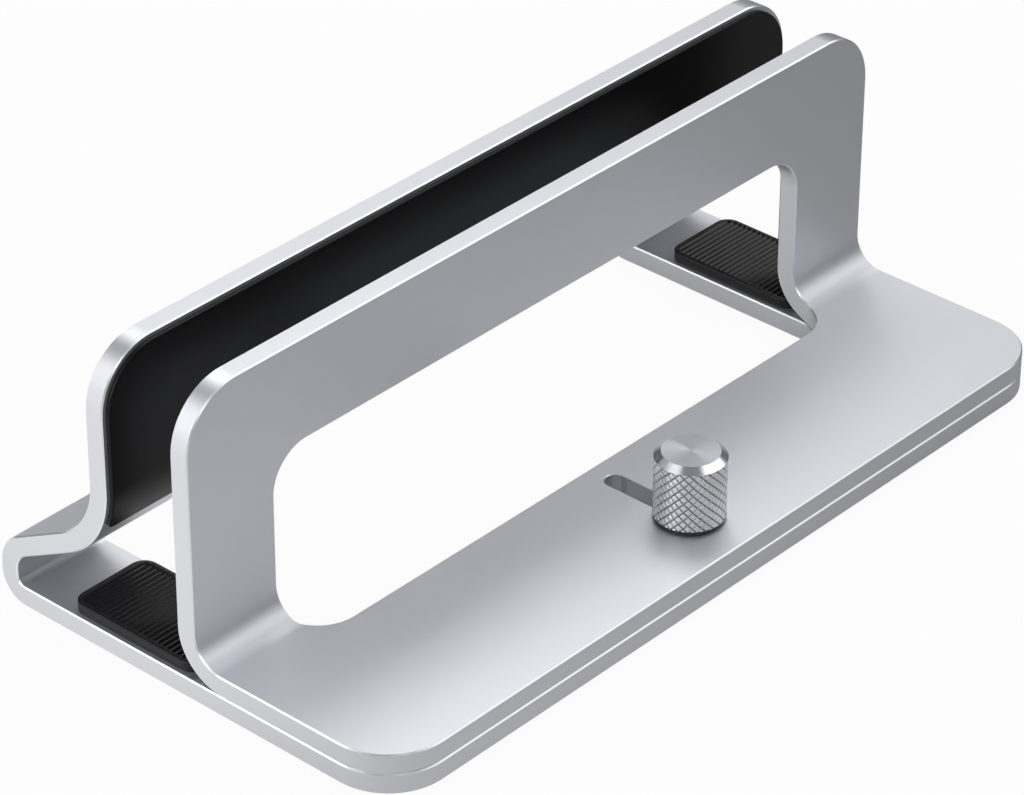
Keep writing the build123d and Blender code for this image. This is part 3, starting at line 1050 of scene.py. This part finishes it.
floor_material, tree, shader = new_material("white_floor")
rays = add_node(tree, "ShaderNodeLightPath")
mirror = math_node(tree, "ADD", rays.outputs["Is Glossy Ray"], rays.outputs["Is Transmission Ray"])
tint(tree, shader, mirror, FLOOR_PAINT, MIRRORED_SHADE_PAINT)
shader.inputs["Roughness"].default_value = 0.9
shader.inputs["Specular IOR Level"].default_value = 0
floor_place = add_node(tree, "ShaderNodeSeparateXYZ")
tree.links.new(add_node(tree, "ShaderNodeTexCoord").outputs["Object"], floor_place.inputs[0])
# The glow that mirroring rays see is brighter at the left and the rear: a painted pool of light.
to_left = fade(tree, floor_place.outputs["X"], 150 * MM, -150 * MM, 1)
to_rear = fade(tree, floor_place.outputs["Y"], -60 * MM, 10 * MM, REAR_GLOW)
lit_share = math_node(tree, "MULTIPLY", to_left, math_node(tree, "ADD", to_rear, FRONT_GLOW))
mirrored = math_node(tree, "MULTIPLY", mirror, lit_share)
seen = math_node(tree, "MULTIPLY", rays.outputs["Is Camera Ray"], SEEN_GLOW)
glow = add_node(tree, "ShaderNodeEmission")
glow.inputs["Strength"].default_value = 1
blend = add_node(tree, "ShaderNodeMixShader")
tree.links.new(math_node(tree, "ADD", seen, mirrored), blend.inputs[0])
tree.links.new(shader.outputs[0], blend.inputs[1])
tree.links.new(glow.outputs[0], blend.inputs[2])
tree.links.new(blend.outputs[0], tree.nodes["Material Output"].inputs["Surface"])
floor_material.cycles.emission_sampling = "NONE"
print("the floor shows", SEEN_GLOW, "of its white to the camera")

# %% [markdown]
# The glow is not a lamp. Cycles would aim rays at it as at any lamp and count it for
# the rays that it doesn't show to, so that sampling is switched off above. The plane
# itself is far larger than the stand, so that its edge is never in view.

# %% Floor plane
FLOOR_SIZE = 6.0

half_floor = FLOOR_SIZE / 2
corners = [(-half_floor, -half_floor, 0), (half_floor, -half_floor, 0)]
corners += [(half_floor, half_floor, 0), (-half_floor, half_floor, 0)]
floor_mesh = bpy.data.meshes.new("floor")
floor_mesh.from_pydata(corners, [], [(0, 1, 2, 3)])
floor_mesh.materials.append(floor_material)
floor = bpy.data.objects.new("floor", floor_mesh)
bpy.context.scene.collection.objects.link(floor)
print("the floor is", FLOOR_SIZE, "metres wide")

# %% [markdown]
# ## The sky
#
# Metal has only what it reflects. An even sky would make the sheets look flat, so
# this one runs from a dark grey at the horizon to a paler grey overhead, with a
# trace of blue, which is the tone that the dark sides of the real stand have.

# %% Sky
HORIZON = (0.094, 0.100, 0.114, 1)
ZENITH = (0.244, 0.250, 0.264, 1)

world = bpy.data.worlds.new("sky")
bpy.context.scene.world = world
world.use_nodes = True
tree = world.node_tree
sky = tree.nodes["Background"]
upwards = add_node(tree, "ShaderNodeSeparateXYZ")
tree.links.new(add_node(tree, "ShaderNodeTexCoord").outputs["Generated"], upwards.inputs[0])
sky_ramp = add_node(tree, "ShaderNodeValToRGB")
sky_ramp.color_ramp.elements[0].color = HORIZON
sky_ramp.color_ramp.elements[1].color = ZENITH
tree.links.new(upwards.outputs["Z"], sky_ramp.inputs["Fac"])
tree.links.new(sky_ramp.outputs["Color"], sky.inputs["Color"])
sky.inputs["Strength"].default_value = 1
print("the sky's horizon is", HORIZON[:3])

# %% [markdown]
# ## The lamps
#
# Fifteen soft lamps of one size stand round the stand at one distance, and only
# their heading, rise and strength differ. One or two large lamps would be simpler,
# but a polished face shows just the small part of the studio that it mirrors, and
# each face here wants a brightness of its own. The strongest lamps are low at the
# left, for the ends of the sheets, and overhead, for the plate.

# %% Lamps
LAMP_DISTANCE = 1.3
LAMP_WIDTH = 0.55
LAMP_HEIGHT = 0.45


def add_lamp(name, heading, rise, strength):
    """A soft rectangular lamp that faces the stand. Heading and rise are in degrees."""
    data = bpy.data.lights.new(name, "AREA")
    data.shape = "RECTANGLE"
    data.size = LAMP_WIDTH
    data.size_y = LAMP_HEIGHT
    data.energy = strength * math.pi * LAMP_WIDTH * LAMP_HEIGHT
    lamp = bpy.data.objects.new(name, data)
    bpy.context.scene.collection.objects.link(lamp)
    level = LAMP_DISTANCE * math.cos(math.radians(rise))
    lamp.location = (
        level * math.cos(math.radians(heading)),
        level * math.sin(math.radians(heading)),
        LAMP_DISTANCE * math.sin(math.radians(rise)),
    )
    lamp.rotation_mode = "QUATERNION"
    lamp.rotation_quaternion = (-lamp.location).to_track_quat("-Z", "Y")


for name, heading, rise, strength in (
    ("overhead_lamp", 20, 70, 2.9),
    ("high_rear_lamp", 30, 55, 1.8),
    ("high_left_lamp", 60, 55, 2.9),
    ("high_front_lamp", -60, 55, 1.7),
    ("low_left_lamp", 165, 14, 4.3),
    ("left_lamp", 180, 24, 2.5),
    ("rear_left_lamp", 150, 24, 1.2),
    ("chamfer_lamp", 135, 37, 1.6),
    ("rim_lamp", 153, 57, 1.0),
    ("front_left_lamp", -150, 24, 2.1),
    ("left_front_lamp", -120, 35, 1.7),
    ("front_right_lamp", -45, 35, 1.3),
    ("front_lamp", -75, 35, 0.6),
    ("right_lamp", -15, 35, 1.9),
    ("rear_right_lamp", 42, 35, 0.6),
):
    add_lamp(name, heading, rise, strength)
print("lamps", len(bpy.data.lights))
